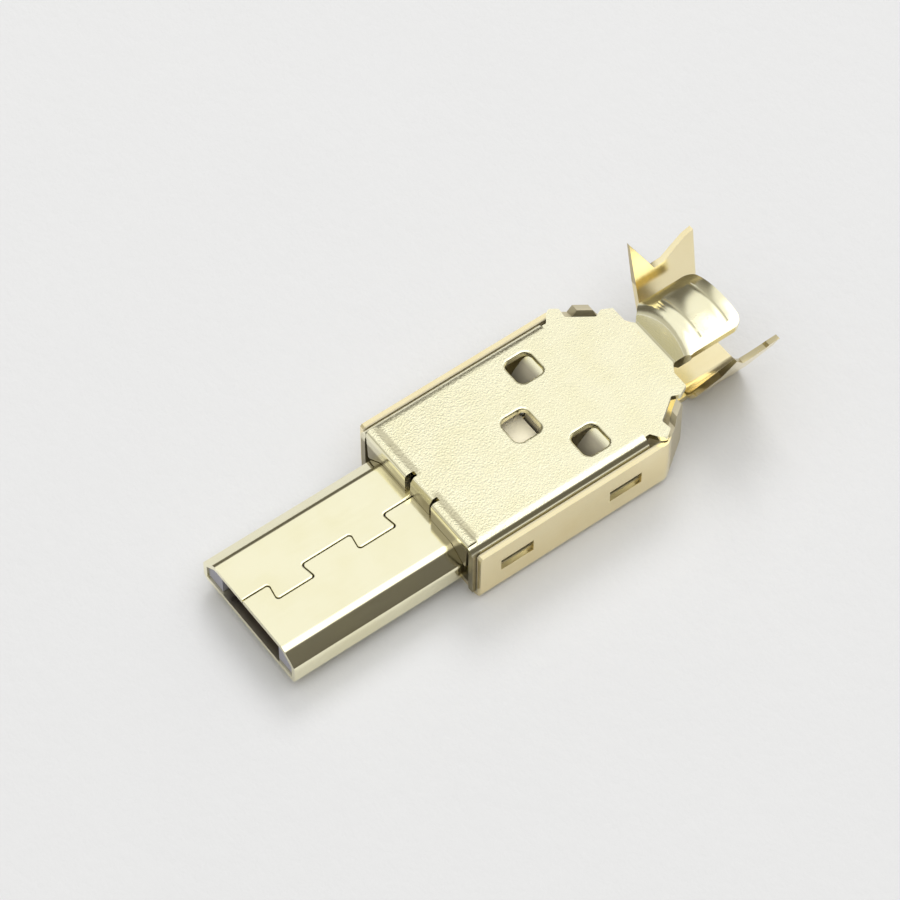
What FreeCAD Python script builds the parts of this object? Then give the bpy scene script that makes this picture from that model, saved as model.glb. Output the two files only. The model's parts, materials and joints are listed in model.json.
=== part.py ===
"""Micro USB plug for soldering: two-piece folded metal cover, plug shell, insulator and contacts.

Millimetres, +Z up. X = 0 is the plane of symmetry, the nose of the plug points to -Y, the
cable end to +Y, and Z = 0 is the underside of the lower cover, which lies on the table.
"""
import FreeCAD, Part
import math
import os
import re
import Sketcher

V = FreeCAD.Vector
doc = FreeCAD.newDocument("micro_usb_connector")

# name, value in mm (or degrees), what it is
SIZES = [
    ("nose_y", -13.3, "Y of the plug's nose"),
    ("plug_out", 8.95, "plug shell in front of the covers"),
    ("plug_in", 3.35, "plug shell inside the covers"),
    ("plug_half", 3.425, "half width of the plug shell"),
    ("plug_flat", 2.61, "half width of its narrow upper face"),
    ("plug_low", 0.58, "height of its underside"),
    ("plug_high", 1.8, "height of the shell itself"),
    ("bevel_drop", 0.65, "height of its sloping shoulders"),
    ("shoulder_bend", 0.62, "outer radius where its top turns into the shoulders"),
    ("side_bend", 0.3, "outer radius where the shoulders turn into the sides"),
    ("lower_bend", 0.28, "outer radius of its lower bends"),
    ("shell_sheet", 0.25, "shell sheet"),
    ("seam_gap", 0.05, "gap of the interlocking seam"),
    ("seam_step", 0.42, "seam runs this far either side of the middle"),
    ("seam_first", 1.38, "nose to the first tab"),
    ("seam_tab", 1.72, "length of a tab at its neck"),
    ("seam_flare", 0.14, "how much wider a tab is at its head, per side"),
    ("seam_space", 2.62, "between the two tabs"),
    ("seam_round", 0.15, "corner radius of the seam"),
    ("window_y", 2.1, "nose to the latch windows"),
    ("window_long", 1.6, "length of a latch window"),
    ("window_room", 0.08, "room beside a hook in its window"),
    ("latch_inset", 0.875, "middle of a latch arm inside the shell's side"),
    ("latch_x", "=plug_half - latch_inset", "middle of a latch arm from the plane of symmetry"),
    ("latch_wide", 0.5, "width of a latch arm"),
    ("latch_sheet", 0.18, "latch spring sheet"),
    ("latch_out", 0.28, "how far a hook stands out of the shell"),
    ("latch_back", 11.1, "nose to the back of the latch spring"),
    ("latch_bar", 0.88, "width of the bar that joins the latch arms"),
    ("hook_in", 0.25, "front of a latch window to its hook"),
    ("hook_long", 1.0, "length of a hook"),
    ("latch_room", 0.42, "room above the latch arms"),
    ("groove_ahead", 0.3, "grooves of the latch ahead of the windows"),
    ("fit", 0.02, "clearance of pieces that are pushed together"),
    ("mouth_half", 2.1, "half width of the socket in the nose"),
    ("mouth_deep", 6.0, "depth of the socket"),
    ("mouth_back", 0.1, "insulator behind the nose"),
    ("liner", 0.27, "insulator above the contacts"),
    ("head_room", 0.203, "between the insulator's head and the inner walls"),
    ("head_half", "=body_half - 2 * sheet - wall_fit - head_room", "half width of the head"),
    ("head_top", 2.62, "top of the head"),
    ("head_back", 15.3, "nose to the back of the head"),
    ("pitch", 0.65, "contact pitch"),
    ("contact_wide", 0.35, "width of a contact"),
    ("contact_sheet", 0.15, "contact sheet"),
    ("contact_in", 0.85, "nose to the contacts"),
    ("contact_dip", 0.3, "how far a contact's nose bends into the socket"),
    ("contact_bump", 1.8, "length of a contact's bent nose"),
    ("tail_long", 1.25, "solder tail behind the head"),
    ("step_back", 0.6, "end of the shell to where two contacts step down"),
    ("tail_drop", 0.85, "lower row of tails below the upper row"),
    ("sheet", 0.3, "cover sheet"),
    ("side_room", 1.008, "side of the plug shell to the outside of the lower cover"),
    ("body_half", "=plug_half + side_room", "half width of the lower cover"),
    ("body_top", 3.45, "top of the upper cover"),
    ("body_long", 10.5, "front of the covers to the rear corners"),
    ("wall_fit", 0.03, "clearance between the nested side walls"),
    ("rim_gap", 0.08, "rim of the lower cover below the upper plate"),
    ("lip_ahead", 0.2, "front of the upper cover ahead of the lower one"),
    ("chamfer_wide", 1.25, "rear corners, across"),
    ("chamfer_long", 1.75, "rear corners, along"),
    ("bend_out", 0.6, "outer radius of the upper cover's long bends"),
    ("floor_bend", 0.45, "outer radius of the lower cover's bends"),
    ("rear_bend", 0.5, "radius of the lower cover's rear corners"),
    ("lug_front", 0.92, "rear corner to a lug's upper edge, along the plug"),
    ("lug_back", 1.5, "rear corner to the far end of that edge"),
    ("lug_taper", 0.19, "how much longer a lug is at its foot, at either end"),
    ("lug_top", 3.58, "top of the lugs"),
    ("wall_end", 9.7, "front of the covers to the end of the inner walls"),
    ("bead", 0.06, "height of the pressed bead along the lip"),
    ("bead_long", 0.5, "front to back of the bead"),
    ("bead_round", 0.2, "front radius of the bead"),
    ("tongue_half", 0.7, "half width of the middle tongue"),
    ("lip_gap", 0.25, "slots beside the tongue"),
    ("tongue_off", 0.12, "middle of the tongue to the right of the plug's"),
    ("lip_side", 0.275, "lip outside the plug shell"),
    ("lip_half", "=plug_half + lip_side", "half width of the lip"),
    ("rim_cut", 0.1, "cut corner at the front of the rims"),
    ("slot_one", 2.19, "front of the covers to the middle of the first side window"),
    ("slot_two", 8.15, "front of the covers to the middle of the second side window"),
    ("slot_long", 1.76, "length of a side window"),
    ("slot_low", 1.36, "lower edge of the side windows"),
    ("slot_high", 0.74, "height of a side window"),
    ("barb_out", 0.27, "how far a barb stands out of the inner wall"),
    ("hole_pair_y", 7.7, "front of the covers to the two rear holes"),
    ("hole_pair_x", 2.4, "each rear hole from the middle"),
    ("hole_pair", 1.4, "size of a rear hole"),
    ("hole_mid_y", 5.72, "front of the covers to the middle hole"),
    ("hole_mid", 1.46, "size of the middle hole"),
    ("hole_round", 0.36, "corner radius of the holes"),
    ("flap_gap", 0.06, "gap beside a pressed flap"),
    ("flap_drop", 0.85, "how far the rear flaps go down"),
    ("stop_drop", 1.15, "how far the middle flap goes down"),
    ("neck_y", 2.63, "rear corners to the neck"),
    ("neck_half", 1.35, "half width of the neck"),
    ("neck_long", 0.65, "plate to the front of the saddle"),
    ("neck_slope", 62.0, "slope of the neck"),
    ("neck_bend", 0.3, "radius at the foot of the neck"),
    ("neck_crest", 0.55, "radius where the neck turns into the saddle"),
    ("saddle_half", 1.9, "half width of the cable saddle"),
    ("saddle_long", 2.85, "length of the saddle"),
    ("saddle_top", 4.68, "top of the saddle"),
    ("saddle_round", 3.4, "outer radius of the saddle"),
    ("saddle_off", 0.3, "top of the saddle's arch to the right of the middle"),
    ("saddle_corner", 0.5, "corner radius of the saddle"),
    ("rib_high", 0.065, "height of its two ribs"),
    ("rib_wide", 0.5, "width of a rib"),
    ("rib_turn", 25.0, "each rib reaches this far round to the left of the arch's top"),
    ("rib_turn_right", 21.0, "and this far to the right"),
    ("rib_first", 0.57, "front of the saddle to the first rib"),
    ("rib_space", 1.5, "between the two ribs"),
    ("dot_round", 0.16, "radius of the button at a rib's left end"),
    ("dot_deep", 0.1, "its centre below the saddle's face"),
    ("barrel_y", 3.55, "rear corners to the crimp barrel"),
    ("barrel_long", 2.95, "length of the crimp barrel at its floor"),
    ("barrel_half", 1.45, "half width of the barrel's floor at its bends"),
    ("barrel_bend", 0.9, "inner radius of the barrel"),
    ("lean_left", 18.5, "left ear, from upright"),
    ("lean_right", 25.0, "right ear, from upright"),
    ("ear_front", 6.15, "top of the ears' front points"),
    ("ear_back", 5.07, "top of the ears' rear points"),
    ("ear_notch", 4.32, "bottom of the notch between the points"),
    ("ear_reach", 0.65, "left ear's rear point behind the barrel's floor"),
    ("ear_reach_right", 0.07, "right ear's rear point behind the barrel's floor"),
    ("ear_thin", 0.13, "thickness of the ears' points"),
    ("ear_coin", 4.15, "height at which the ears start to thin"),
]
sheet = doc.addObject("Spreadsheet::Sheet", "Sizes")
for row, (name, value, note) in enumerate(SIZES, start=1):
    sheet.set("A%d" % row, name)
    sheet.set("B%d" % row, str(value))
    sheet.set("C%d" % row, note)
    sheet.setAlias("B%d" % row, name)
doc.recompute()
NAMES = {name for name, value, note in SIZES}


def ref(text):
    """A formula in the sheet's names, written so that any object can read it."""
    return re.sub(r"[a-z_]+", lambda m: ("Sizes." if m.group() in NAMES else "") + m.group(), str(text))


def num(text):
    """The formula's value now."""
    value = sheet.evalExpression(ref(text))
    return float(getattr(value, "Value", value))


def new_body(name):
    body = doc.addObject("PartDesign::Body", name)
    body.Label = name
    return body


def sketch(body, name, plane, lift="0"):
    sk = body.newObject("Sketcher::SketchObject", name)
    face = [o for o in body.Origin.OriginFeatures if o.Role == plane + "_Plane"][0]
    sk.AttachmentSupport = [(face, "")]
    sk.MapMode = "FlatFace"
    if lift != "0":
        sk.setExpression("AttachmentOffset.Base.z", ref(lift))
    return sk


def pin(sk, kind, geo, point, text):
    """Hold one coordinate of a sketch point, or a radius, to its formula."""
    if kind == "Radius":
        index = sk.addConstraint(Sketcher.Constraint("Radius", geo, num(text)))
    else:
        index = sk.addConstraint(Sketcher.Constraint(kind, -1, 1, geo, point, num(text)))
    sk.setExpression("Constraints[%d]" % index, ref(text))


def outline(sk, points):
    """A closed outline through points given as formulas, in order.

    A point (x, y) starts a straight edge, (x, y, radius, centre x, centre y, ccw) an arc.
    """
    first, count, ends = sk.GeometryCount, len(points), []
    at = [V(num(p[0]), num(p[1]), 0) for p in points]
    for i, point in enumerate(points):
        here, there = at[i], at[(i + 1) % count]
        if len(point) == 2:
            sk.addGeometry(Part.LineSegment(here, there), False)
            ends.append((1, 2))
            continue
        middle, turns_left = V(num(point[3]), num(point[4]), 0), point[5]
        one, two = here - middle, there - middle
        low, high = math.atan2(one.y, one.x), math.atan2(two.y, two.x)
        if not turns_left:
            low, high = high, low
        high += 2 * math.pi if high < low else 0
        circle = Part.Circle(middle, V(0, 0, 1), num(point[2]))
        sk.addGeometry(Part.ArcOfCircle(circle, low, high), False)
        ends.append((1, 2) if turns_left else (2, 1))
    for i in range(count):
        after = (i + 1) % count
        meet = (first + i, ends[i][1], first + after, ends[after][0])
        sk.addConstraint(Sketcher.Constraint("Coincident", *meet))
    for i, point in enumerate(points):
        pin(sk, "DistanceX", first + i, ends[i][0], point[0])
        pin(sk, "DistanceY", first + i, ends[i][0], point[1])
        if len(point) > 2:
            pin(sk, "Radius", first + i, 0, point[2])
    return sk


def box_outline(sk, x0, x1, y0, y1):
    return outline(sk, [(x0, y0), (x1, y0), (x1, y1), (x0, y1)])


def pad(body, sk, name, length, back=False):
    feature = body.newObject("PartDesign::Pad", name)
    feature.Profile = sk
    feature.setExpression("Length", ref(length))
    feature.Reversed = back
    doc.recompute()
    return feature


def cut(body, sk, name, length=None, back=False):
    """Length None cuts right through, both ways."""
    before = body.Shape.Volume
    feature = body.newObject("PartDesign::Pocket", name)
    feature.Profile = sk
    if length is None:
        feature.SideType = "Symmetric"
        feature.Type = "ThroughAll"
    else:
        feature.setExpression("Length", ref(length))
        feature.Reversed = back
    doc.recompute()
    if not body.Shape.Volume < before - 1e-6:
        raise RuntimeError("%s cuts nothing: %s" % (name, feature.getStatusString()))
    return feature


def along_y(sk_y, body, name, points, length, cut_it=False):
    """A prism along Y: its section in X and Z, its front end at sk_y."""
    sk = outline(sketch(body, name + "_section", "XZ", "-(%s)" % sk_y), points)
    return cut(body, sk, name, length, False) if cut_it else pad(body, sk, name, length, True)


def along_x(x, body, name, points, length, cut_it=False):
    """A prism along X: its section in Y and Z, its lower end at x."""
    sk = outline(sketch(body, name + "_section", "YZ", x), points)
    return cut(body, sk, name, length, True) if cut_it else pad(body, sk, name, length)


def along_z(z, body, name, points, length, cut_it=False):
    """A prism along Z: its outline in X and Y, its lower end at z."""
    sk = outline(sketch(body, name + "_outline", "XY", z), points)
    return cut(body, sk, name, length, True) if cut_it else pad(body, sk, name, length)


def rounded(body, name, radius, test, curved=False):
    """Fillet the straight edges, or all, for which test(middle, direction end to end) holds."""
    found = []
    for i, edge in enumerate(body.Shape.Edges, start=1):
        way = edge.Vertexes[-1].Point - edge.Vertexes[0].Point
        middle = edge.valueAt((edge.FirstParameter + edge.LastParameter) / 2)
        straight = edge.Curve.TypeId == "Part::GeomLine"
        if (straight or curved) and way.Length > 0 and test(middle, way.normalize()):
            found.append("Edge%d" % i)
    if not found:
        raise RuntimeError(name + " finds no edge")
    base = body.Tip
    feature = body.newObject("PartDesign::Fillet", name)
    feature.Base = (base, found)
    feature.setExpression("Radius", ref(radius))
    doc.recompute()
    return feature


def near(a, b, slack=0.02):
    return abs(a - b) < slack


def mirror_x(points):
    """Complete a half outline (x >= 0, front to back) with its mirror image."""
    return points + [("-(%s)" % x, y) for x, y in reversed(points)]


FACE = "nose_y + plug_out"
TRAY = "nose_y + plug_out + lip_ahead"
CORNER = "nose_y + plug_out + body_long"
INNER = "(body_half - sheet - wall_fit)"        # outer face of the upper cover's walls
UNDER = "(body_top - sheet)"                    # underside of its plate
TOP = "(plug_low + plug_high)"
LINER = "(plug_low + plug_high - shell_sheet - fit - liner)"     # underside of the liner
LEAN = "atan(chamfer_wide / chamfer_long)"
NECK = "(nose_y + plug_out + body_long + neck_y)"                # foot of the neck
CLIMB = "tan(neck_slope * 1 deg)"
AXIS = "(saddle_top - saddle_round)"            # height of the arch's centre


def make_shell():
    """Plug shell: a folded tube with sloping shoulders, closed by an interlocking seam."""
    body = new_body("plug_shell")
    length = "plug_out + plug_in"
    along_y("nose_y", body, "tube", mirror_x(inside("0")), length)
    bends(body, "tube", "0")
    along_y("nose_y - 1", body, "hollow", mirror_x(inside("shell_sheet")), length + " + 2", cut_it=True)
    bends(body, "hollow", "shell_sheet")
    seam(body)
    for name, side in (("left", "-"), ("right", "")):
        middle, half = "%s(latch_x)" % side, "(latch_wide / 2 + window_room)"
        front = "nose_y + window_y"
        near_side, far_side = "%s - %s" % (middle, half), "%s + %s" % (middle, half)
        sk = sketch(body, "latch_window_" + name, "XY", "plug_low - fit")
        box_outline(sk, near_side, far_side, front, front + " + window_long")
        cut(body, sk, "window_" + name, "shell_sheet + 2 * fit", True)
    return body


def inside(t):
    """Half of the shell's section, drawn in by t."""
    turn = "tan(atan(bevel_drop / (plug_half - plug_flat)) / 2)"
    lower = "tan(atan((plug_half - plug_flat) / bevel_drop) / 2)"
    return [("plug_half - %s" % t, "plug_low + %s" % t),
            ("plug_half - %s" % t, TOP + " - bevel_drop - %s * %s" % (t, lower)),
            ("plug_flat - %s * %s" % (t, turn), TOP + " - %s" % t)]


def bends(body, name, t):
    """Round the six corners of the shell's section, drawn in by t."""
    spots = [(num(x), num(z)) for x, z in inside("(%s)" % t)]
    for spot, word in zip(spots, ("lower", "side", "shoulder")):
        rounded(body, "%s_%s_bends" % (name, word), "%s_bend - %s" % (word, t),
                lambda m, w: abs(w.y) > 0.99 and near(abs(m.x), spot[0]) and near(m.z, spot[1]))


def seam(body):
    """The narrow gap round the two tabs of the left half that lock into the right half."""
    sk = sketch(body, "seam_line", "XY", TOP + " - shell_sheet - fit")
    outline(sk, seam_side(1) + seam_side(-1)[::-1])
    cut(body, sk, "seam_cut", "shell_sheet + 2 * fit", True)
    step, low, nose = num("seam_step"), num(TOP + " - shell_sheet"), num("nose_y")
    first, last = nose + num("seam_first / 2"), nose + num("plug_out + plug_in - seam_first / 2")
    rounded(body, "seam_corners", "seam_round",
            lambda m, w: abs(w.z) > 0.99 and near(abs(m.x), step, 0.1) and m.z > low and first < m.y < last)


def seam_side(side):
    """One side of the gap: the seam's own line, set off by half the gap to the right (1) or left (-1)."""
    path = [("-seam_step", "nose_y - seam_first")]
    for before in ("", " + seam_tab + seam_space"):
        start = "nose_y + seam_first" + before
        end = start + " + seam_tab"
        path += [("-seam_step", start), ("seam_step", start + " - seam_flare"),
                 ("seam_step", end + " + seam_flare"), ("-seam_step", end)]
    path += [("-seam_step", "nose_y + plug_out + plug_in + seam_first")]
    line = []
    for i, (x, y) in enumerate(path):
        along = 0                       # the two end points stay on their own Y
        if 0 < i < len(path) - 1:
            along = -side if (i - 1) % 4 < 2 else side
        line.append(("%s + (%d) * seam_gap / 2" % (x, side), "%s + (%d) * seam_gap / 2" % (y, along)))
    return line


def make_insulator():
    """Moulded insulator: liner of the socket, stem in the shell and head in the covers."""
    body = new_body("insulator")
    t, low = "(shell_sheet + fit)", "plug_low + shell_sheet"
    along_y("nose_y + mouth_back", body, "stem", mirror_x(inside(t)), "plug_out + plug_in - mouth_back")
    bends(body, "stem", t)
    along_y("nose_y + plug_out + plug_in", body, "head",
            mirror_x([("head_half", "sheet"), ("head_half", "head_top")]), "head_back - plug_out - plug_in")
    along_y("nose_y", body, "socket", mirror_x([("mouth_half", low + " - fit"), ("mouth_half", LINER)]),
            "mouth_deep", cut_it=True)
    front, bar = "nose_y + window_y - groove_ahead", "nose_y + latch_back - latch_bar - fit"
    for name, side in (("left", "-"), ("right", "")):
        middle, half = "%s(latch_x)" % side, "(latch_wide / 2 + fit)"
        near_side, far_side = "%s - %s" % (middle, half), "%s + %s" % (middle, half)
        groove = [(near_side, front), (far_side, front), (far_side, bar), (near_side, bar)]
        along_z(low + " - fit", body, "latch_groove_" + name, groove, "2 * fit + latch_sheet + latch_room",
                cut_it=True)
    end = "(latch_x + latch_wide / 2 + fit)"
    along_z(low + " - fit", body, "latch_bar_slot", mirror_x([(end, bar), (end, "nose_y + latch_back + fit")]),
            "3 * fit + latch_sheet", cut_it=True)
    wide = "(contact_wide + 2 * fit)"
    for i in range(5):
        along_x("(%d) * pitch - %s / 2" % (i - 2, wide), body, "contact_slot_%d" % (i + 1), slot_path(i), wide,
                cut_it=True)
    return body


def strip(i, front, back, room):
    """Rear part of a contact's side view with room all round it; every second one steps down in the head."""
    top, low = "(%s + %s)" % (LINER, room), "(%s - contact_sheet - %s)" % (LINER, room)
    if i % 2 == 0:
        return [(front, low), (back, low), (back, top), (front, top)]
    step = "nose_y + plug_out + plug_in + step_back"
    ahead, behind = "%s - %s" % (step, room), "%s + contact_sheet + %s" % (step, room)
    return [(front, low), (ahead, low), (ahead, low + " - tail_drop"), (back, low + " - tail_drop"),
            (back, top + " - tail_drop"), (behind, top + " - tail_drop"), (behind, top), (front, top)]


def slot_path(i):
    """Side view of the slot that holds a contact in the solid part of the insulator."""
    return strip(i, "nose_y + mouth_deep - contact_sheet", "nose_y + head_back + tail_long", "fit")


def contact_path(i):
    """Side view of a contact: its nose bends down into the socket, its tail stands behind the head."""
    tip, low, dip = "nose_y + contact_in", LINER + " - contact_sheet", LINER + " - contact_dip"
    at = lambda part, z: ("%s + %s * contact_bump" % (tip, part), z)
    under = [at(0.11, low), at(0.33, dip + " - contact_sheet"), at(0.61, dip + " - contact_sheet")]
    over = [at(0.94, LINER), at(0.58, dip), at(0.36, dip), at(0.17, LINER), (tip, LINER), (tip, low)]
    rear = strip(i, tip + " + contact_bump", "nose_y + head_back + tail_long", "0")
    return under + rear[:-1] + over


def make_contact(i):
    body = new_body("contact_%d" % (i + 1))
    along_x("(%d) * pitch - contact_wide / 2" % (i - 2), body, "strip", contact_path(i), "contact_wide")
    return body


def make_latch():
    """Latch spring: a flat U whose two arms end in hooks that stand out of the shell."""
    body = new_body("latch_spring")
    out, inn = "(latch_x + latch_wide / 2)", "(latch_x - latch_wide / 2)"
    tip, back = "nose_y + window_y + hook_in", "nose_y + latch_back"
    low = "plug_low + shell_sheet + fit"
    points = [(out, tip), (out, back), ("-" + out, back), ("-" + out, tip), ("-" + inn, tip),
              ("-" + inn, back + " - latch_bar"), (inn, back + " - latch_bar"), (inn, tip)]
    along_z(low, body, "spring", points, "latch_sheet")
    crest = "plug_low - latch_out"
    hook = [(tip, low + " + latch_sheet"), (tip, low + " - latch_sheet / 4"),
            (tip + " + 0.55 * hook_long", crest), (tip + " + 0.9 * hook_long", crest),
            (tip + " + hook_long", low + " + latch_sheet")]
    for name, x in (("left", "-" + out), ("right", inn)):
        along_x(x, body, "hook_" + name, hook, "latch_wide")
    return body


def make_upper():
    """Upper cover: plate with two long side walls, lip, three windows, neck and cable saddle."""
    body = new_body("upper_cover")
    wall, foot = "(%s - sheet)" % INNER, "sheet + wall_fit"
    channel = [(INNER, foot), (INNER, "body_top"), ("-" + INNER, "body_top"), ("-" + INNER, foot),
               ("-" + wall, foot), ("-" + wall, UNDER), (wall, UNDER), (wall, foot)]
    along_y(FACE, body, "channel", channel, "wall_end")
    for name, z, radius in (("outer", "body_top", "bend_out"), ("inner", UNDER, "bend_out - sheet")):
        rounded(body, name + "_bends", radius, lambda m, w: abs(w.y) > 0.99 and near(m.z, num(z)))
    open_half = "lip_half + wall_fit"
    opening = mirror_x([(open_half, FACE + " - 1"), (open_half, FACE + " + bead_long")])
    along_z("body_top - bend_out", body, "front_opening", opening, "2 * bend_out", cut_it=True)
    plate(body)
    lip(body)
    holes(body)
    neck(body)
    saddle(body)
    barbs(body)
    return body


def plate(body):
    """Rear of the top plate, which lies over the rim and leaves a notch for each lug."""
    end, wall = FACE + " + wall_end", INNER + " - bend_out - sheet / 3"
    relief = INNER + " - 1.25 * sheet"
    at = lambda x, y: ("body_half - %s * chamfer_wide" % x, CORNER + " + %s * chamfer_long" % y)
    half = [(wall, end + " - sheet"), (wall, end), (relief, end), (relief, end + " + 0.8 * sheet"),
            (INNER + " + sheet / 6", end + " + 1.8 * sheet"), at(0.1, 0), at(0.32, 0.22), at(0.74, 0.18),
            at(1.39, 0.83), at(1.24, 1.06), at(1.44, 1.34),
            ("neck_half + 0.35 * chamfer_wide", NECK + " - 0.16 * chamfer_long"), ("neck_half", NECK)]
    along_z(UNDER, body, "rear_plate", mirror_x(half), "sheet")
    front, back = num(end + " + sheet"), num(NECK + " - sheet")
    rounded(body, "plate_corners", "0.4 * sheet", lambda m, w: abs(w.z) > 0.99 and front < m.y < back)


def lip(body):
    """Front edge: two folded lobes with a pressed bead and a tongue between them."""
    low, crest = TOP + " + fit", "(body_top + bead)"
    for name, side, shift in (("right", "", "+ tongue_off"), ("left", "-", "- tongue_off")):
        start = "(tongue_half + lip_gap %s)" % shift
        lobe = [(start, "body_top - bead_long / 2"), (start, low), ("plug_flat + fit", low),
                ("plug_half + 2 * fit", low + " - bevel_drop"),
                ("lip_half - 0.4 * sheet", low + " - bevel_drop"), ("lip_half", "body_top - bead_long / 2")]
        along_y(FACE, body, "lobe_" + name, [mirrored(p) for p in lobe] if side else lobe, "sheet")
        r, back = "bead_round", FACE + " + bead_long"
        bead = [(FACE + " + sheet", UNDER), (FACE, UNDER),
                (FACE, crest + " - " + r, r, FACE + " + " + r, crest + " - " + r, False),
                (FACE + " + " + r, crest), (back + " - 2 * bead", crest), (back + " + bead", "body_top"),
                (back + " + bead", UNDER)]
        along_x("-lip_half" if side else start, body, "bead_" + name, bead, "lip_half - " + start)
    at = lambda y, z: (FACE + " + %s * sheet" % y, z)
    tongue = [at(2, "body_top"), at(1, "body_top - fit"), at(0.4, UNDER), at(0.27, low), at(1.27, low),
              at(1.4, "body_top - 1.5 * sheet"), at(2, UNDER)]
    along_x("tongue_off - tongue_half", body, "tongue", tongue, "2 * tongue_half")


def holes(body):
    """Three windows; the metal of each is folded down as a flap behind it."""
    sk = sketch(body, "windows", "XY", UNDER + " - sheet")
    windows = [("-hole_pair_x", "hole_pair_y", "hole_pair"), ("hole_pair_x", "hole_pair_y", "hole_pair"),
               ("0", "hole_mid_y", "hole_mid")]
    for x, y, wide in windows:
        box_outline(sk, "%s - %s / 2" % (x, wide), "%s + %s / 2" % (x, wide),
                    "%s + %s - %s / 2" % (FACE, y, wide), "%s + %s + %s / 2" % (FACE, y, wide))
    cut(body, sk, "window_cuts", "3 * sheet", True)
    first, last = num(FACE + " + hole_mid_y - hole_mid"), num(FACE + " + hole_pair_y + 0.6 * hole_pair")
    side = num("hole_pair_x + hole_pair")
    rounded(body, "window_corners", "hole_round",
            lambda m, w: abs(w.z) > 0.99 and first < m.y < last and abs(m.x) < side)
    back = FACE + " + hole_pair_y + hole_pair / 2"
    # in parts of flap_drop, from the window's rear edge
    curl = [(0.3, 0), (0.3, -0.26), (-0.24, -0.5), (-0.73, -0.98), (-1.12, -1.5),
            (-1.35, -1.35), (-0.94, -0.74), (-0.41, -0.19), (0, 0)]
    flap = [("%s + (%s) * flap_drop" % (back, y), "%s + (%s) * flap_drop" % (UNDER, z)) for y, z in curl]
    for name, x in (("left", "-hole_pair_x"), ("right", "hole_pair_x")):
        along_x("%s - hole_pair / 2 + flap_gap" % x, body, "flap_" + name, flap, "hole_pair - 2 * flap_gap")
    edge = FACE + " + hole_mid_y + hole_mid / 2"
    low, high = UNDER + " - stop_drop", UNDER + " + fit / 2"
    stop = [(edge, high), (edge, low), (edge + " + sheet", low), (edge + " + sheet", high)]
    along_x("-hole_mid / 2 + flap_gap", body, "stop_flap", stop, "hole_mid - 2 * flap_gap")


def arch(x, radius="saddle_round"):
    """Height of the saddle's arch at x."""
    return "(%s + sqrt(%s * %s - (%s - saddle_off) * (%s - saddle_off)))" % (AXIS, radius, radius, x, x)


def neck(body):
    """Slope from the plate up to the saddle, its top trimmed to the arch."""
    over, back = "(saddle_top - body_top + sheet)", "(sheet * tan(neck_slope / 2 * 1 deg))"
    ramp = [(NECK, UNDER), (NECK + " + " + back, UNDER),
            ("%s + %s + (%s + sheet) / %s" % (NECK, back, over, CLIMB), "body_top + " + over),
            ("%s + %s / %s" % (NECK, over, CLIMB), "body_top + " + over), (NECK, "body_top")]
    along_x("-saddle_half", body, "neck", ramp, "2 * saddle_half")
    wide, high = "(saddle_half + sheet)", "saddle_top + 2 * sheet"
    left, right = arch("-saddle_half"), arch("saddle_half")
    above = [(wide, high), ("-" + wide, high), ("-" + wide, left),
             ("-saddle_half", left, "saddle_round", "saddle_off", AXIS, False),
             ("saddle_half", right), (wide, right)]
    along_y(NECK + " - fit", body, "neck_top", above, "saddle_long", cut_it=True)


def saddle(body):
    """Arched strip behind the neck with two ribs, which holds the cable down."""
    inner = "(saddle_round - sheet)"
    section = [("saddle_half", arch("saddle_half"), "saddle_round", "saddle_off", AXIS, True),
               ("-saddle_half", arch("-saddle_half")),
               ("-saddle_half", arch("-saddle_half", inner), inner, "saddle_off", AXIS, False),
               ("saddle_half", arch("saddle_half", inner))]
    along_y(NECK + " + sheet", body, "saddle", section, "saddle_long + neck_long - sheet")
    over = "(saddle_top - body_top + sheet)"
    front = [("%s + fit / %s" % (NECK, CLIMB), "body_top + fit"),
             ("%s + %s / %s" % (NECK, over, CLIMB), "body_top + " + over),
             (NECK + " - sheet", "body_top + " + over), (NECK + " - sheet", "body_top + fit")]
    along_x("-saddle_half - sheet", body, "saddle_front", front, "2 * saddle_half + 2 * sheet", cut_it=True)
    trim(body)
    foot, top, crest, past = num(NECK), num("body_top"), num("saddle_top"), num(NECK + " + neck_long + sheet")
    rounded(body, "neck_foot", "neck_bend",
            lambda m, w: abs(w.x) > 0.99 and near(m.z, top) and near(m.y, foot))
    rounded(body, "neck_crest", "neck_crest", curved=True,
            test=lambda m, w: abs(w.x) > 0.9 and near(m.z, crest, 0.1) and m.y < past)
    rib(body, "front", "(%s + neck_long + rib_first)" % NECK)
    rib(body, "back", "(%s + neck_long + rib_first + rib_space)" % NECK)


def trim(body):
    """Plan of neck and saddle: the neck widens from its foot, and the saddle's rear corners are round."""
    r, end = "saddle_corner", "(%s + neck_long + saddle_long)" % NECK
    out, start = "saddle_half + sheet", "%s - %s" % (end, r)
    side = [("neck_half", NECK), (out, NECK), (out, NECK + " + neck_long * 1.3")]
    for name, left in (("right", False), ("left", True)):
        x = "%s(saddle_half - %s)" % ("-" if left else "", r)
        corner = [("saddle_half", start, r, x, start, not left), ("saddle_half - " + r, end),
                  ("saddle_half - " + r, end + " + sheet"), (out, end + " + sheet"), (out, start)]
        for word, points, low in (("neck_side_", side, UNDER + " - sheet"), ("saddle_corner_", corner, UNDER)):
            along_z(low, body, word + name, [mirrored(p) for p in points] if left else points, "saddle_top",
                    cut_it=True)


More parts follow.
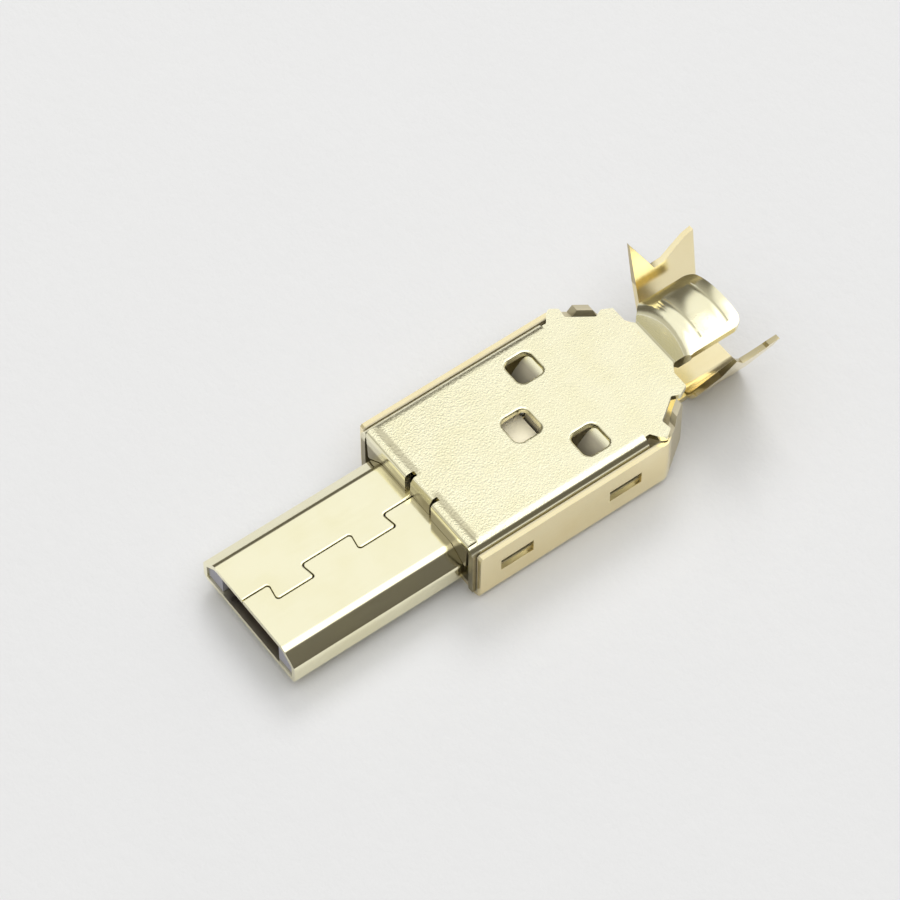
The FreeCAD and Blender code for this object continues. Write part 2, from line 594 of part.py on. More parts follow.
def rib(body, name, y):
    """Rounded ridge across the saddle, turned about the arch's own axis."""
    bulge = "((rib_wide * rib_wide / 4 + rib_high * rib_high) / (2 * rib_high))"
    a, b, low = "%s - rib_wide / 2" % y, "%s + rib_wide / 2" % y, "(saddle_top - sheet / 4)"
    sk = outline(sketch(body, "rib_%s_section" % name, "YZ", "saddle_off"),
                 [(a, low), (b, low), (b, "saddle_top", bulge, y, "saddle_top + rib_high - " + bulge, True),
                  (a, "saddle_top")])
    turned(body, "rib_" + name, sk, [(a, AXIS), (b, AXIS)], ("rib_turn_right", "rib_turn"))
    across = "saddle_off - (saddle_round - dot_deep) * sin(rib_turn * 1 deg)"
    up = AXIS + " + (saddle_round - dot_deep) * cos(rib_turn * 1 deg)"
    foot, side, head = (y, up + " - dot_round"), (y + " + dot_round", up), (y, up + " + dot_round")
    bow = ("dot_round", y, up, True)
    half = outline(sketch(body, "rib_%s_button" % name, "YZ", across), [foot + bow, side + bow, head])
    turned(body, "button_" + name, half, [foot, head])


def turned(body, name, sk, line, angles=None):
    """Turn a sketch about a line through two of its points: all round, or by an angle to either side."""
    ends = [V(num(x), num(z), 0) for x, z in line]
    axis = sk.addGeometry(Part.LineSegment(*ends), True)
    for point, (x, z) in enumerate(line, start=1):
        pin(sk, "DistanceX", axis, point, x)
        pin(sk, "DistanceY", axis, point, z)
    feature = body.newObject("PartDesign::Revolution", name)
    feature.Profile = sk
    feature.ReferenceAxis = (sk, ["Axis0"])
    if angles:
        feature.Type = "TwoAngles"
        feature.setExpression("Angle", ref(angles[0]))
        feature.setExpression("Angle2", ref(angles[1]))
    doc.recompute()


def barbs(body):
    """Wedges pressed out of the side walls, which snap into the windows of the lower cover."""
    high, low, long = "slot_low + slot_high - fit", "slot_low + 4 * fit", "(slot_long * 0.75)"
    wedge = [(INNER + " - sheet / 2", high), (INNER + " + barb_out", high), (INNER, low),
             (INNER + " - sheet / 2", low)]
    for row, slot in (("front", "slot_one"), ("back", "slot_two")):
        start = "%s + %s - %s / 2" % (FACE, slot, long)
        along_y(start, body, "barb_%s_right" % row, wedge, long)
        along_y(start, body, "barb_%s_left" % row, [mirrored(p) for p in wedge], long)


def make_lower():
    """Lower cover: tray with windows and lugs, and a crimp barrel with two notched ears."""
    body = new_body("lower_cover")
    rim, end = "(%s - rim_gap)" % UNDER, CORNER + " + chamfer_long"
    outer = [("body_half", TRAY), ("body_half", CORNER), ("body_half - chamfer_wide", end)]
    along_z("0", body, "block", mirror_x(outer), rim)
    side = num("body_half")
    rounded(body, "rear_bends", "rear_bend", lambda m, w: abs(w.z) > 0.99 and near(abs(m.x), side) and m.y > 0)
    rounded(body, "floor_bends", "floor_bend",
            lambda m, w: near(m.z, 0) and (near(abs(m.x), side) or (abs(w.x) > 0.2 and abs(w.y) > 0.2)))
    inner_corner = "(%s - sheet * tan(%s / 2))" % (CORNER, LEAN)
    past = "(chamfer_long + 2 * sheet)"
    inner = [("body_half - sheet", TRAY + " - 1"), ("body_half - sheet", inner_corner),
             ("body_half - sheet - %s * chamfer_wide / chamfer_long" % past, "%s + %s" % (inner_corner, past))]
    along_z("sheet", body, "hollow", mirror_x(inner), "body_top", cut_it=True)
    start = "body_half - chamfer_wide - 1.5 * floor_bend"
    floor = [(start, end + " - sheet"), (start, end),
             ("barrel_half", NECK + " + 0.7 * sheet"), ("barrel_half", CORNER + " + barrel_y + fit")]
    along_z("0", body, "rear_floor", mirror_x(floor), "sheet")
    lugs(body, rim)
    along_y(TRAY, body, "plug_rest", mirror_x([("plug_flat", "0"), ("plug_flat", "plug_low - fit")]), "sheet")
    sk = sketch(body, "side_windows", "YZ")
    for slot in ("slot_one", "slot_two"):
        mid = FACE + " + " + slot
        box_outline(sk, mid + " - slot_long / 2", mid + " + slot_long / 2", "slot_low", "slot_low + slot_high")
    cut(body, sk, "side_window_cuts")
    corner = [(TRAY + " - 1", rim + " + 1"), (TRAY + " - 1", rim + " - 1 - rim_cut"),
              (TRAY + " + rim_cut + 1", rim + " + 1")]
    along_x("-body_half - 1", body, "rim_corners", corner, "2 * body_half + 2", cut_it=True)
    barrel(body)
    return body


def lugs(body, rim):
    """A tapered lug on each slanting rear wall, which stands in a notch of the upper plate."""
    front, back = "(lug_front - lug_taper)", "(lug_back + lug_taper)"
    foot, k, high = rim + " - fit", "chamfer_wide / chamfer_long", "lug_top - %s + sheet" % rim
    side = [(CORNER + " + " + front, foot), (CORNER + " + " + back, foot), (CORNER + " + lug_back", "lug_top"),
            (CORNER + " + lug_front", "lug_top")]
    at = lambda along, deep: ("body_half - %s * %s - %s * cos(%s)" % (along, k, deep, LEAN),
                              "%s + %s - %s * sin(%s)" % (CORNER, along, deep, LEAN))
    start, end = "(%s - sheet)" % front, "(%s + sheet)" % back
    beyond = [at(start, "0"), at(end, "0"), at(end, "-chamfer_long"), at(start, "-chamfer_long")]
    within = [at(start, "sheet"), at(end, "sheet"), at(end, "chamfer_long"), at(start, "chamfer_long")]
    for name, left in (("right", False), ("left", True)):
        x = "-body_half" if left else "body_half - chamfer_wide - sheet"
        along_x(x, body, "lug_" + name, side, "chamfer_wide + sheet")
        for word, area in (("outside_", beyond), ("inside_", within)):
            along_z(foot, body, word + name, [mirrored(p) for p in area] if left else area, high, cut_it=True)


def mirrored(point):
    return ("-(%s)" % point[0],) + tuple(point[1:])


def arc(side, which, turns_left, flip=False):
    """Radius, centre and sense of one of a trough side's two arcs."""
    radius = "barrel_bend" if which == "in" else "barrel_bend + sheet"
    x = side["centre"][0]
    return (radius, "-(%s)" % x if flip else x, side["centre"][1], turns_left)


def trough_side(lean, top, coin):
    """Corner points, as formulas, of one half of the barrel's section, for a wall that leans out."""
    bend = "barrel_bend"
    x = "(barrel_half - %s * tan((90 deg - %s * 1 deg) / 2))" % (bend, lean)
    z = "(sheet + %s)" % bend
    c, s, g = ("%s(%s * 1 deg)" % (word, lean) for word in ("cos", "sin", "tan"))
    side = {"centre": (x, z), "floor_in": (x, "sheet"), "floor_out": (x, "0")}
    for which, radius in (("in", bend), ("out", "(%s + sheet)" % bend)):
        side["bend_" + which] = ("%s + %s * %s" % (x, radius, c), "%s - %s * %s" % (z, radius, s))
    on_wall = lambda foot, high: ("%s + (%s - (%s)) * %s" % (foot[0], high, foot[1], g), high)
    side["coin"], side["top_in"] = on_wall(side["bend_out"], coin), on_wall(side["bend_in"], top)
    side["top_out"] = ("%s + ear_thin / %s" % (side["top_in"][0], c), top)
    return side


def ear_line(y0, rear, scale):
    """Side view of what is cut away round an ear, its heights scaled for its lean."""
    up = lambda text: "(%s) * %s" % (text, scale)
    at = lambda part: y0 + " + %s * barrel_long" % part
    return [(y0 + " - sheet", "barrel_bend"), (y0 + " + fit", "barrel_bend"), (at(0.07), up("ear_front")),
            (at(0.42), up("ear_notch")), (at(0.61), up("ear_notch + fit")),
            (at(0.82), up("ear_notch + 1.1 * sheet")),
            (rear + " - 0.17 * barrel_long", up("ear_back - sheet / 3")), (rear, up("ear_back"))]


def barrel(body):
    """Crimp barrel: a trough with two leaning ears, each notched like a fish tail."""
    y0 = CORNER + " + barrel_y"
    base = y0 + " + barrel_long"
    top, lower = "(ear_front + sheet)", "cos(lean_right * 1 deg) / cos(lean_left * 1 deg)"
    left = trough_side("lean_left", top, "ear_coin")
    right = trough_side("lean_right", top, "(ear_coin * %s)" % lower)
    wall = ("coin", "top_out", "top_in")
    # round the section: right side from the floor up and back down, then the left side
    points = [right["floor_out"] + arc(right, "out", True), right["bend_out"]] + [right[p] for p in wall]
    points += [right["bend_in"] + arc(right, "in", False), right["floor_in"],
               mirrored(left["floor_in"]) + arc(left, "in", False, True), mirrored(left["bend_in"])]
    points += [mirrored(left[p]) for p in reversed(wall)]
    points += [mirrored(left["bend_out"]) + arc(left, "out", True, True), mirrored(left["floor_out"])]
    along_y(y0, body, "trough", points, "barrel_long + ear_reach + sheet")
    past, over = base + " + ear_reach + 1", "ear_front + 2"
    round_it = [(past, over), (y0 + " - sheet", over)]
    ears = ear_line(y0, base + " + ear_reach", "1") + [(base, "sheet"), (base, "-sheet"), (past, "-sheet")]
    cut(body, outline(sketch(body, "ear_outline", "YZ"), ears + round_it), "ear_cut")
    right_ear = ear_line(y0, base + " + ear_reach_right", lower)
    right_ear += [(base + " + fit / 4", "sheet"), (past, "sheet")]
    shorter = outline(sketch(body, "right_ear_outline", "YZ", "barrel_half - sheet"), right_ear + round_it)
    cut(body, shorter, "right_ear_cut", "body_half", True)


pieces = [make_shell(), make_insulator()] + [make_contact(i) for i in range(5)]
pieces += [make_latch(), make_upper(), make_lower()]
doc.recompute()
for thing in doc.Objects:
    if "Invalid" in thing.State or "Error" in thing.State:
        raise RuntimeError("%s is %s" % (thing.Name, thing.State))
os.makedirs("parts", exist_ok=True)
for piece in pieces:
    shape = piece.Shape
    if shape.isNull() or not shape.isValid() or len(shape.Solids) != 1:
        raise RuntimeError("%s: %d solids, valid %s" % (piece.Label, len(shape.Solids), shape.isValid()))
    print("%-14s %8.3f mm3  %s" % (piece.Label, shape.Volume, shape.BoundBox))
    shape.exportStep("parts/%s.step" % piece.Label)
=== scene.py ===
"""Looks of a gold-plated micro USB solder plug, set on a pale table and lit from behind."""
import bmesh
import bpy
import json
from math import radians
from mathutils import Matrix, Vector

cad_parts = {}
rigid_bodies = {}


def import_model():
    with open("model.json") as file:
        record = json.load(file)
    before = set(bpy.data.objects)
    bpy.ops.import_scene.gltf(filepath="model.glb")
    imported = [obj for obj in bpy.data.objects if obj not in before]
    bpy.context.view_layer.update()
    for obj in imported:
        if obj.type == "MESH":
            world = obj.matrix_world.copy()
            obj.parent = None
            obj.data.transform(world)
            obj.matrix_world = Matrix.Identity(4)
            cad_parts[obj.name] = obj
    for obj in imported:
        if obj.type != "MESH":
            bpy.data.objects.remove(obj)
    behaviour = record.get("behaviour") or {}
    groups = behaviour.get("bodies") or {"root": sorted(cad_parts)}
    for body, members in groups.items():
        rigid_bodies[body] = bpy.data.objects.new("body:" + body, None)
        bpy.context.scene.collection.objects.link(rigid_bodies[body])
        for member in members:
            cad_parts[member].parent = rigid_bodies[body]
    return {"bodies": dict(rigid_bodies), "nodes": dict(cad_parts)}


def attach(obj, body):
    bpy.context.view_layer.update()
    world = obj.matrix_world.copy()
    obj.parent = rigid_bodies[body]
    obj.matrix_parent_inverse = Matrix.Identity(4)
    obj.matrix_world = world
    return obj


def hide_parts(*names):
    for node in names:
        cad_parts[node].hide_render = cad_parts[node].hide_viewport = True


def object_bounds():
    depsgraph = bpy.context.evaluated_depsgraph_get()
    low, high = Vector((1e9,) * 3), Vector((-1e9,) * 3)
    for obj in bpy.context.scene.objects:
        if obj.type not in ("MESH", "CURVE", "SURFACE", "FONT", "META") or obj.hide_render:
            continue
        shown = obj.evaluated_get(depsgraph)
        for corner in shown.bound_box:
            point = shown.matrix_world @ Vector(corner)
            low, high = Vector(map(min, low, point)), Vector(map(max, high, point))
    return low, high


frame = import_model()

CAD_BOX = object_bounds()
MM = 0.001
SHARP = radians(32)                    # the least fold that is an edge of a piece


# ---------------------------------------------------------------- node trees

class Wire:
    """A value or colour coming out of a node; arithmetic on it adds Math nodes."""

    def __init__(self, web, socket):
        self.web, self.socket = web, socket

    def _math(self, operation, one, two=None):
        values = {0: one} if two is None else {0: one, 1: two}
        return self.web.add("ShaderNodeMath", {"operation": operation}, values)

    def __add__(self, other): return self._math("ADD", self, other)
    def __radd__(self, other): return self._math("ADD", other, self)
    def __sub__(self, other): return self._math("SUBTRACT", self, other)
    def __rsub__(self, other): return self._math("SUBTRACT", other, self)
    def __mul__(self, other): return self._math("MULTIPLY", self, other)
    def __rmul__(self, other): return self._math("MULTIPLY", other, self)
    def above(self, other): return self._math("MAXIMUM", self, other)
    def below(self, other): return self._math("MINIMUM", self, other)
    def size(self): return self._math("ABSOLUTE", self)

    def fade(self, low, high):
        """0 at low, 1 at high, smooth between them."""
        return self.web.add("ShaderNodeMapRange", {"interpolation_type": "SMOOTHSTEP"},
                            {"Value": self, "From Min": low, "From Max": high})


class Web:
    """A node tree that is filled by calls."""

    def __init__(self, tree):
        self.tree = tree
        tree.nodes.clear()

    def add(self, kind, settings=None, values=None, out=0):
        """Add a node, its settings first, then its sockets. Returns one of its outputs as a Wire."""
        node = self.tree.nodes.new(kind)
        for key, value in (settings or {}).items():
            setattr(node, key, value)
        for key, value in (values or {}).items():
            socket = node.inputs[key]
            if isinstance(value, Wire):
                self.tree.links.new(value.socket, socket)
            else:
                socket.default_value = value
        return Wire(self, node.outputs[out]) if len(node.outputs) else node

    def mix(self, share, one, two):
        """Colour one where share is 0, colour two where it is 1."""
        return self.add("ShaderNodeMix", {"data_type": "RGBA"},
                        {"Factor": share, 6: one, 7: two}, out=2)

    def place(self):
        """Place on the object, in millimetres."""
        at = self.add("ShaderNodeTexCoord", out="Object")
        return self.add("ShaderNodeVectorMath", {"operation": "SCALE"}, {0: at, "Scale": 1 / MM})

    def axis(self, vector, name):
        return self.add("ShaderNodeSeparateXYZ", values={0: vector}, out=name)

    def stretch(self, vector, scale):
        return self.add("ShaderNodeVectorMath", {"operation": "MULTIPLY"}, {0: vector, 1: scale})

    def noise(self, vector, per_mm, detail=2.0, rough=0.5):
        return self.add("ShaderNodeTexNoise", values={"Vector": vector, "Scale": per_mm,
                                                      "Detail": detail, "Roughness": rough})

    def facing(self):
        """The surface's own direction, in the frame."""
        return self.add("ShaderNodeNewGeometry", out="Normal")


def finish_of(name):
    material = bpy.data.materials.new(name)
    material.use_nodes = True
    return material, Web(material.node_tree)


def rgb(r, g, b):
    return (r, g, b, 1.0)


# ---------------------------------------------------------------- places, in millimetres

NOSE = CAD_BOX[0][1] / MM
PLATE_TOP = 3.45
LIP_BACK = -3.9                         # the front lip ends and the plate begins
LIP_REACH = (0.75, 3.45)                # each lip from the middle outwards
WINDOWS = (0.5, 5.6)                    # the plate's three windows along the plug
WINDOWS_HALF = 3.3
FLAP_TOP = 2.95
BARB_OUT = 3.98
BARB_HEIGHTS = (1.3, 2.15)
BOX_HALF, BOX_BACK = 4.15, 8.3          # the inside of the lower cover
NECK_FOOT, NECK_RISE = 8.78, 9.6
EAR_FRONT, EAR_FOOT = 8.8, 3.9
EAR_NOTCH = 10.9
HEAD_FRONT, HEAD_TOP = -1.0, 2.5        # the core's head under the plate


# ---------------------------------------------------------------- finishes

GRAIN_DEPTH = 0.027                     # mm
# tints for the recesses: a duller one darkened as painted shade, and the colour of deep painted shade
DULL_SHADE_TINT, SHADE_TINT = (0.46, 0.42, 0.32), (0.2, 0.165, 0.09)
CHAMPAGNE, WARM = (0.955, 0.91, 0.665), (0.905, 0.85, 0.56)


def plated(name, colour, deep, rough, wave, blasted=None, painted_shade=None):
    """Gold plating: colour in the open, deep in faint blotches.

    blasted(web, at) gives the sand-blasted places; the last argument gives the places of painted shade,
    some duller and darker, some dark.
    """
    material, web = finish_of(name)
    at = web.place()
    blotch = web.noise(at, 0.55, 3.0)
    streak = web.noise(web.stretch(at, (1.0, 0.12, 1.0)), 5.0, 3.0)
    tint = web.mix((blotch - 0.38) * 1.5 + (streak - 0.5) * 0.4, rgb(*colour), rgb(*deep))
    roughness = rough + (blotch - 0.5) * 0.05 + (streak - 0.5) * 0.05
    height = web.noise(at, 0.8, 1.0) * wave + streak * 0.0006
    metal = 1.0
    if painted_shade:
        dull_shade, dark = painted_shade(web, at)
        # painted shade: the duller places tinted darker, the dark places darker still
        tint = web.mix(dark, web.mix(dull_shade, tint, rgb(*DULL_SHADE_TINT)), rgb(*SHADE_TINT))
        roughness = roughness + dull_shade * 0.35 + dark * 0.15
        metal = 1.0 - dull_shade * 0.6
    if blasted:
        sanded = blasted(web, at)
        grain = web.noise(at, 10.5, 2.0, 0.7)
        height = height + sanded * grain * GRAIN_DEPTH
        roughness = roughness + sanded * 0.1 + web.axis(at, "Y").fade(NECK_FOOT, NECK_RISE) * 0.09
    bump = web.add("ShaderNodeBump", values={"Height": height, "Strength": 1.0, "Distance": MM})
    surface = web.add("ShaderNodeBsdfPrincipled", values={"Base Color": tint, "Metallic": metal,
                                                          "Roughness": roughness, "Normal": bump})
    web.add("ShaderNodeOutputMaterial", values={"Surface": surface})
    return material


def between(value, low, high, soft):
    """1 where value lies from low to high, fading out over soft on either side."""
    return value.fade(low - soft, low) * (1.0 - value.fade(high, high + soft))


def blasted_places(web, at):
    """The plate, most at the lip, and a patch between the saddle's ribs."""
    x, y, z = (web.axis(at, name) for name in "XYZ")
    up = web.axis(web.facing(), "Z").fade(0.8, 0.95)
    plate = up * between(z, PLATE_TOP - 0.15, PLATE_TOP + 0.3, 0.1)
    plate = plate * (1.0 - y.fade(NECK_FOOT, NECK_FOOT + 0.2))
    plate = plate * (1.0 - 0.4 * (y + x * 0.4).fade(-4.0, 6.0))
    patch = between(x, 0.7, 1.25, 0.4) * between(y, 10.5, 10.9, 0.4) * z.fade(4.0, 4.1)
    return plate + patch * 0.6


def cover_recess_shade(web, at):
    """Painted shade in the cover's recesses. Duller and darker: the flaps in the windows, the barbs and the
    inside. Dark: below and behind the lip.
    """
    x, y, z = (web.axis(at, name) for name in "XYZ")
    # duller, and darker as painted shade: the flaps in the windows, the barbs and the inside of the box
    flaps = (1.0 - z.fade(FLAP_TOP, FLAP_TOP + 0.19)) * between(y, *WINDOWS, 0.1)
    flaps = flaps * (1.0 - x.size().fade(WINDOWS_HALF, WINDOWS_HALF + 0.1))
    below_lip = (1.0 - z.fade(3.0, 3.3)) * (1.0 - y.fade(LIP_BACK - 0.05, LIP_BACK))
    barbs = x.size().fade(BARB_OUT, BARB_OUT + 0.07) * between(z, *BARB_HEIGHTS, 0.05)
    # painted shade below the lip: strongest right of the middle and low down, weaker further left
    dark = x.fade(-1.0, 0.5).above(x.fade(-2.8, -1.4) * 0.55).above(1.0 - z.fade(2.55, 2.8))
    # painted shade on the faces that look down inside the box
    underneath = (0.0 - web.axis(web.facing(), "Z")).fade(0.5, 0.8)
    inside = underneath * (1.0 - y.fade(BOX_BACK, BOX_BACK + 0.3)) * 0.8
    # painted shade in the groove behind the lip's bead
    behind_lip = between(y, LIP_BACK, LIP_BACK + 0.18, 0.16) * between(x.size(), *LIP_REACH, 0.3)
    behind_lip = behind_lip * z.fade(PLATE_TOP - 0.05, PLATE_TOP - 0.01)
    dull_shade = flaps.above(below_lip * 0.3).above(barbs * 0.5).above(inside)
    return dull_shade, (below_lip * dark * 0.8).above(behind_lip * 0.4)


def box_and_ear_edge_shade(web, at):
    """Painted shade: the inside of the box duller and darker, and the cut edges of the ears dark.

    The left ear's rear prong is left out of the dark edges.
    """
    x, y, z = (web.axis(at, name) for name in "XYZ")
    # painted shade inside the box: duller and darker
    inside = z.fade(0.1, 0.2) * (1.0 - x.size().fade(BOX_HALF, BOX_HALF + 0.1))
    inside = inside * (1.0 - y.fade(BOX_BACK, BOX_BACK + 0.3))
    # painted shade on the cut edges of the ears
    edge = 1.0 - web.axis(web.facing(), "X").size().fade(0.3, 0.45)
    edge = edge * y.fade(EAR_FRONT, EAR_FRONT + 0.1) * z.fade(EAR_FOOT, EAR_FOOT + 0.1)
    all_but_left_rear = (x.fade(-0.1, 0.1) + 1.0 - y.fade(EAR_NOTCH, EAR_NOTCH + 0.4)).below(1.0)
    return inside * 0.8, edge * all_but_left_rear * 0.55


def moulded(name, colour, socket_shade, upper):
    """Moulded plastic, darker deep in the socket as painted shade, and ivory on the top of its head as
    painted light.
    """
    material, web = finish_of(name)
    at = web.place()
    y, z = web.axis(at, "Y"), web.axis(at, "Z")
    cloud, pits = web.noise(at, 1.5, 2.0), web.noise(at, 14.0, 2.0)
    tint = web.mix(cloud, rgb(*colour), rgb(*(c * 0.86 for c in colour)))
    # painted shade deep in the socket
    tint = web.mix(y.fade(NOSE + 0.15, NOSE + 0.7), tint, rgb(*socket_shade))
    # painted light: the top of the head ivory, lit through the window above it
    head = z.fade(HEAD_TOP, HEAD_TOP + 0.1) * y.fade(HEAD_FRONT, HEAD_FRONT + 0.1)
    tint = web.mix(head, tint, rgb(*upper))
    bump = web.add("ShaderNodeBump", values={"Height": pits * 0.004, "Distance": MM})
    roughness = 0.5 + (pits - 0.5) * 0.2
    surface = web.add("ShaderNodeBsdfPrincipled",
                      values={"Base Color": tint, "Roughness": roughness, "Normal": bump})
    web.add("ShaderNodeOutputMaterial", values={"Surface": surface})
    return material


def paper(name, colour):
    """Pale paper, seen from above only, so that the underside can be looked at from below."""
    material, web = finish_of(name)
    at = web.place()
    cloud, pits = web.noise(at, 0.12, 3.0), web.noise(at, 1.1, 3.0, 0.6)
    tint = web.mix(cloud * 0.5 + pits * 0.5, rgb(*colour), rgb(*(c * 0.965 for c in colour)))
    bump = web.add("ShaderNodeBump", values={"Height": pits * 0.05, "Distance": MM})
    sheet = web.add("ShaderNodeBsdfPrincipled",
                    values={"Base Color": tint, "Roughness": 0.8, "Normal": bump})
    behind = web.add("ShaderNodeNewGeometry", out="Backfacing")
    clear = web.add("ShaderNodeBsdfTransparent")
    surface = web.add("ShaderNodeMixShader", values={0: behind, 1: sheet, 2: clear})
    web.add("ShaderNodeOutputMaterial", values={"Surface": surface})
    return material


polished = plated("polished_gold", CHAMPAGNE, WARM, rough=0.13, wave=0.004)
satin = plated("satin_gold", CHAMPAGNE, WARM, rough=0.13, wave=0.004,
               blasted=blasted_places, painted_shade=cover_recess_shade)
crimp_gold = plated("crimp_gold", (0.95, 0.84, 0.54), (0.9, 0.76, 0.43), rough=0.2, wave=0.006,
                    painted_shade=box_and_ear_edge_shade)
contact_gold = plated("contact_gold", (0.92, 0.76, 0.42), (0.85, 0.66, 0.32), rough=0.2, wave=0.002)
spring_gold = plated("spring_gold", (0.9, 0.82, 0.58), (0.84, 0.74, 0.48), rough=0.25, wave=0.003)
solder = plated("solder", (0.8, 0.79, 0.75), (0.7, 0.69, 0.64), rough=0.24, wave=0.01)
grey_plastic = moulded("grey_plastic", (0.36, 0.355, 0.41), socket_shade=(0.085, 0.07, 0.09),
                       upper=(0.93, 0.86, 0.66))


# ---------------------------------------------------------------- pieces

def upper_edges(edges, level):
    """Those that lie above level and fold down by more than 60 degrees."""
    return [e for e in edges if min(v.co.z for v in e.verts) > level
            and len(e.link_faces) == 2 and e.calc_face_angle() > radians(60)]


def roll(net, edges, offset, segments, flat, depth):
    """Round the edges of a face at height flat by offset mm, and keep only depth of the rounding's drop."""
    rolled = bmesh.ops.bevel(net, geom=edges, offset=offset * MM, segments=segments, profile=0.5,
                             affect="EDGES")
    for v in rolled["verts"]:
        v.co.z = flat - (flat - v.co.z) * depth


def roll_seam(net):
    """Round the lips of the plug's folded seam: the left one gently, the right one crisply."""
    flat = max(v.co.z for v in net.verts)
    for side, offset, depth in ((-1, 0.11, 0.34), (1, 0.04, 1.0)):
        lips = [e for e in upper_edges(net.edges, flat - 0.001 * MM)
                if any(f.normal.z > 0.9 and f.calc_center_median().x * side > 0 for f in e.link_faces)]
        roll(net, lips, offset, 3, flat, depth)


def draw_rims(net):
    """Draw in the rims of the plate's three punched holes, as the punch does."""
    front, back = 0.4 * MM, 4.3 * MM
    plate = {v for v in net.verts if front < v.co.y < back and abs(v.co.x) < WINDOWS_HALF * MM}
    flat = max(v.co.z for v in plate)
    rims = [e for e in upper_edges(net.edges, flat - 0.002 * MM) if all(v in plate for v in e.verts)]
    roll(net, rims, 0.14, 4, flat, 0.7)


def dressed(name, node, material, edge, shaped=None):
    """A copy of a CAD node, its seams closed, its sharp edges eased by edge mm, or left sharp for 0."""
    source = frame["nodes"][node]
    mesh = source.data.copy()
    piece = bpy.data.objects.new(name, mesh)
    bpy.context.collection.objects.link(piece)
    piece.matrix_world = source.matrix_world.copy()
    net = bmesh.new()
    net.from_mesh(mesh)
    bmesh.ops.transform(net, matrix=piece.matrix_world, verts=net.verts)
    piece.matrix_world = Matrix.Identity(4)
    bmesh.ops.remove_doubles(net, verts=net.verts, dist=0.0005 * MM)
    bmesh.ops.dissolve_limit(net, angle_limit=radians(1.0), verts=net.verts, edges=net.edges)
    if shaped:
        shaped(net)
    for face in net.faces:
        face.smooth = True
    for line in net.edges:
        line.smooth = edge > 0 or (len(line.link_faces) == 2 and line.calc_face_angle() < SHARP)
    net.to_mesh(mesh)
    net.free()
    mesh.materials.clear()
    mesh.materials.append(material)
    if edge:
        bevel = piece.modifiers.new("eased edges", "BEVEL")
        bevel.width, bevel.segments, bevel.limit_method = edge * MM, 3, "ANGLE"
        bevel.angle_limit, bevel.miter_outer = SHARP, "MITER_ARC"
    even = piece.modifiers.new("even normals", "WEIGHTED_NORMAL")
    even.keep_sharp = edge == 0
    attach(piece, body)
    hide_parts(node)
    return piece


body = next(iter(frame["bodies"]))
dressed("shell_of_the_plug", "plug_shell", polished, 0.06, roll_seam)
dressed("folded_upper_cover", "upper_cover", satin, 0, draw_rims)
dressed("folded_lower_cover", "lower_cover", crimp_gold, 0.045)
dressed("core_of_the_plug", "insulator", grey_plastic, 0.03)
dressed("latch", "latch_spring", spring_gold, 0.02)
for n in range(1, 6):
    dressed("contact_strip_%d" % n, "contact_%d" % n, contact_gold, 0.02)


def solder_pads():
    """The skin of solder on each tail of the contacts, every second one a row lower."""
    sizes = {"Pads": ("Int", 5),
             "Spacing": ("Float", 0.65 * MM),
             "Drop": ("Float", 0.85 * MM),
             "First pad": ("Vector", (-1.3 * MM, 2.68 * MM, 1.83 * MM)),
             "Half size": ("Vector", (0.17 * MM, 0.45 * MM, 0.09 * MM)),
             "Unevenness": ("Float", 0.05 * MM),
             "Seed": ("Float", 3.0),
             "Finish": ("Material", solder)}
    tree = bpy.data.node_groups.new("solder pads", "GeometryNodeTree")
    tree.interface.new_socket("Geometry", in_out="OUTPUT", socket_type="NodeSocketGeometry")
    keys = {}
    for name, (kind, value) in sizes.items():
        socket = tree.interface.new_socket(name, in_out="INPUT", socket_type="NodeSocket" + kind)
        keys[name] = socket.identifier
    web = Web(tree)

    def given(name):
        return web.add("NodeGroupInput", out=name)

    step = web.add("ShaderNodeCombineXYZ", values={"X": given("Spacing")})
    row = web.add("GeometryNodeMeshLine", values={"Count": given("Pads"), "Offset": step,
                                                  "Start Location": given("First pad")})
    index = web.add("GeometryNodeInputIndex")
    second = web.add("ShaderNodeMath", {"operation": "MODULO"}, {0: index, 1: 2.0})
    lower = web.add("ShaderNodeCombineXYZ", values={"Z": 0.0 - second * given("Drop")})
    row = web.add("GeometryNodeSetPosition", values={"Geometry": row, "Offset": lower})
    drop = web.add("GeometryNodeMeshUVSphere", values={"Segments": 24, "Rings": 12, "Radius": 1.0})
    drop = web.add("GeometryNodeTransform", values={"Geometry": drop, "Scale": given("Half size")})
    wave = web.add("ShaderNodeTexNoise", {"noise_dimensions": "4D"},
                   {"W": given("Seed"), "Scale": 3.0 / MM})
    outwards = web.add("GeometryNodeInputNormal")
    swell = web.add("ShaderNodeVectorMath", {"operation": "SCALE"},
                    {0: outwards, "Scale": (wave - 0.5) * given("Unevenness")})
    drop = web.add("GeometryNodeSetPosition", values={"Geometry": drop, "Offset": swell})
    pads = web.add("GeometryNodeInstanceOnPoints", values={"Points": row, "Instance": drop})
    pads = web.add("GeometryNodeRealizeInstances", values={"Geometry": pads})
    pads = web.add("GeometryNodeSetShadeSmooth", values={"Geometry": pads})
    pads = web.add("GeometryNodeSetMaterial", values={"Geometry": pads, "Material": given("Finish")})
    web.add("NodeGroupOutput", values={"Geometry": pads})
    piece = bpy.data.objects.new("solder_pads", bpy.data.meshes.new("solder_pads"))
    bpy.context.collection.objects.link(piece)
    maker = piece.modifiers.new("solder pads", "NODES")
    maker.node_group = tree
    for name, (kind, value) in sizes.items():
        maker[keys[name]] = value
    shown = piece.evaluated_get(bpy.context.evaluated_depsgraph_get())
    plain = bpy.data.meshes.new_from_object(shown)
    piece.modifiers.remove(maker)
    piece.data = plain
    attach(piece, body)


solder_pads()


# ---------------------------------------------------------------- studio

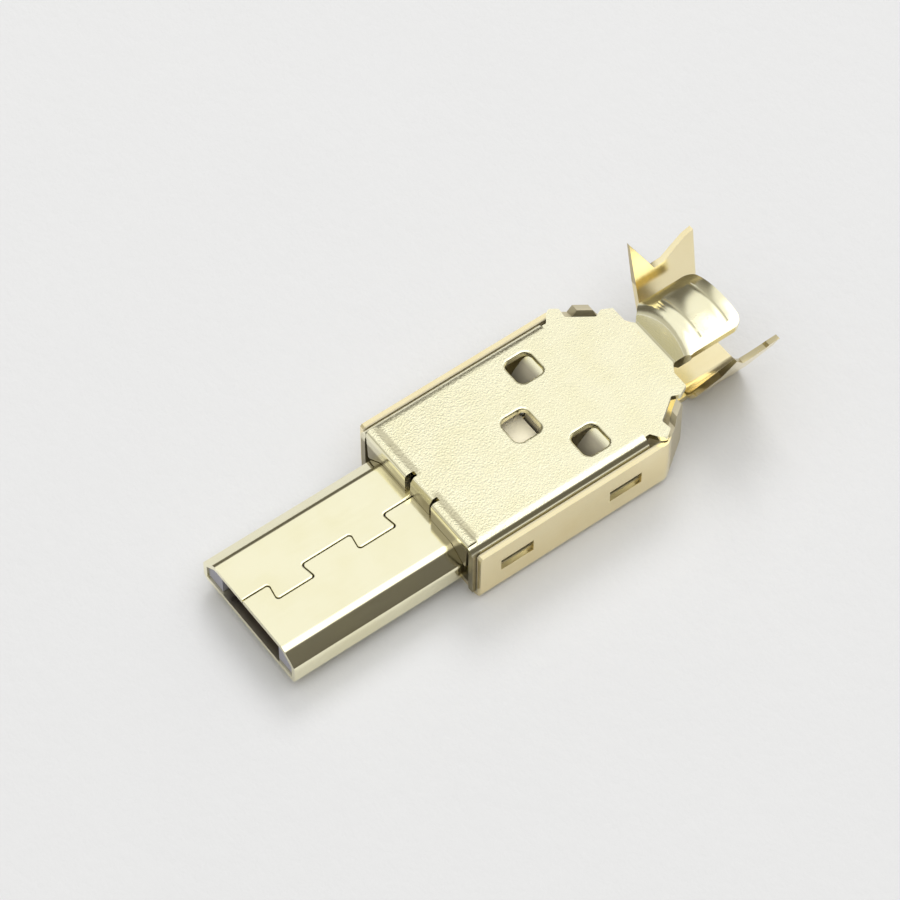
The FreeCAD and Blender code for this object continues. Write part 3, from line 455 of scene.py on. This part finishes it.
def table_top(far=3.0, low=-0.01 * MM):
    """A sheet of paper just under the lower cover."""
    corners = [(-far, -far, low), (far, -far, low), (far, far, low), (-far, far, low)]
    mesh = bpy.data.meshes.new("table_top")
    mesh.from_pydata(corners, [], [(0, 1, 2, 3)])
    table = bpy.data.objects.new("table_top", mesh)
    bpy.context.collection.objects.link(table)
    mesh.materials.append(paper("pale_paper", (0.735, 0.735, 0.75)))


def studio_light():
    """A bright ceiling with a window at the right, a darker room below it, and a pale table."""
    world = bpy.data.worlds.new("studio")
    bpy.context.scene.world = world
    world.use_nodes = True
    web = Web(world.node_tree)
    way = web.add("ShaderNodeTexCoord", out="Generated")
    rise, aside, ahead = (web.axis(way, name) for name in "ZXY")
    ceiling = (rise - aside.fade(0.0, 0.5) * 0.11).fade(0.53, 0.66)
    table = 1.0 - rise.fade(0.0, 0.14)
    window = rise.fade(0.72, 0.8) * (aside + ahead * 0.3).fade(-0.2, 0.05)
    light = web.mix(ahead.size().fade(0.45, 0.8), rgb(0.13, 0.12, 0.1), rgb(0.55, 0.54, 0.5))
    light = web.mix(table, light, rgb(0.62, 0.62, 0.62))
    light = web.mix(ceiling, light, rgb(0.98, 0.985, 0.97))
    light = web.mix(window, light, rgb(1.9, 1.9, 1.85))
    back = web.add("ShaderNodeBackground", values={"Color": light, "Strength": 1.0})
    web.add("ShaderNodeOutputWorld", values={"Surface": back})


def lamp(name, at, size, power):
    """A round lamp that shines on the origin and shows in no reflection."""
    data = bpy.data.lights.new(name, "AREA")
    data.shape, data.size, data.energy = "DISK", size, power
    light = bpy.data.objects.new(name, data)
    bpy.context.collection.objects.link(light)
    light.visible_glossy = False
    turn = Vector(at).to_track_quat("Z", "Y").to_matrix().to_4x4()
    light.matrix_world = Matrix.Translation(at) @ turn


def camera():
    """Looks down on the nose's right side, as in the photograph."""
    data = bpy.data.cameras.new("view")
    data.sensor_width, data.lens = 36, 163.42
    data.clip_start, data.clip_end = 0.01, 10
    eye = Vector((79.563, -61.86, 150.834)) * MM
    aim = Vector((-1.588, -1.337, 2.0)) * MM
    back = (eye - aim).normalized()
    right = Vector((0, 0, 1)).cross(back).normalized()
    turn = Matrix((right, back.cross(right), back)).transposed().to_4x4()
    view = bpy.data.objects.new("view", data)
    bpy.context.collection.objects.link(view)
    view.matrix_world = Matrix.Translation(eye) @ turn @ Matrix.Rotation(radians(0.13), 4, "Z")
    bpy.context.scene.camera = view
    bpy.context.scene.view_settings.view_transform = "Standard"


table_top()
studio_light()
lamp("softbox", (-0.44, 0.34, 0.6), 0.4, 2.0)
camera()
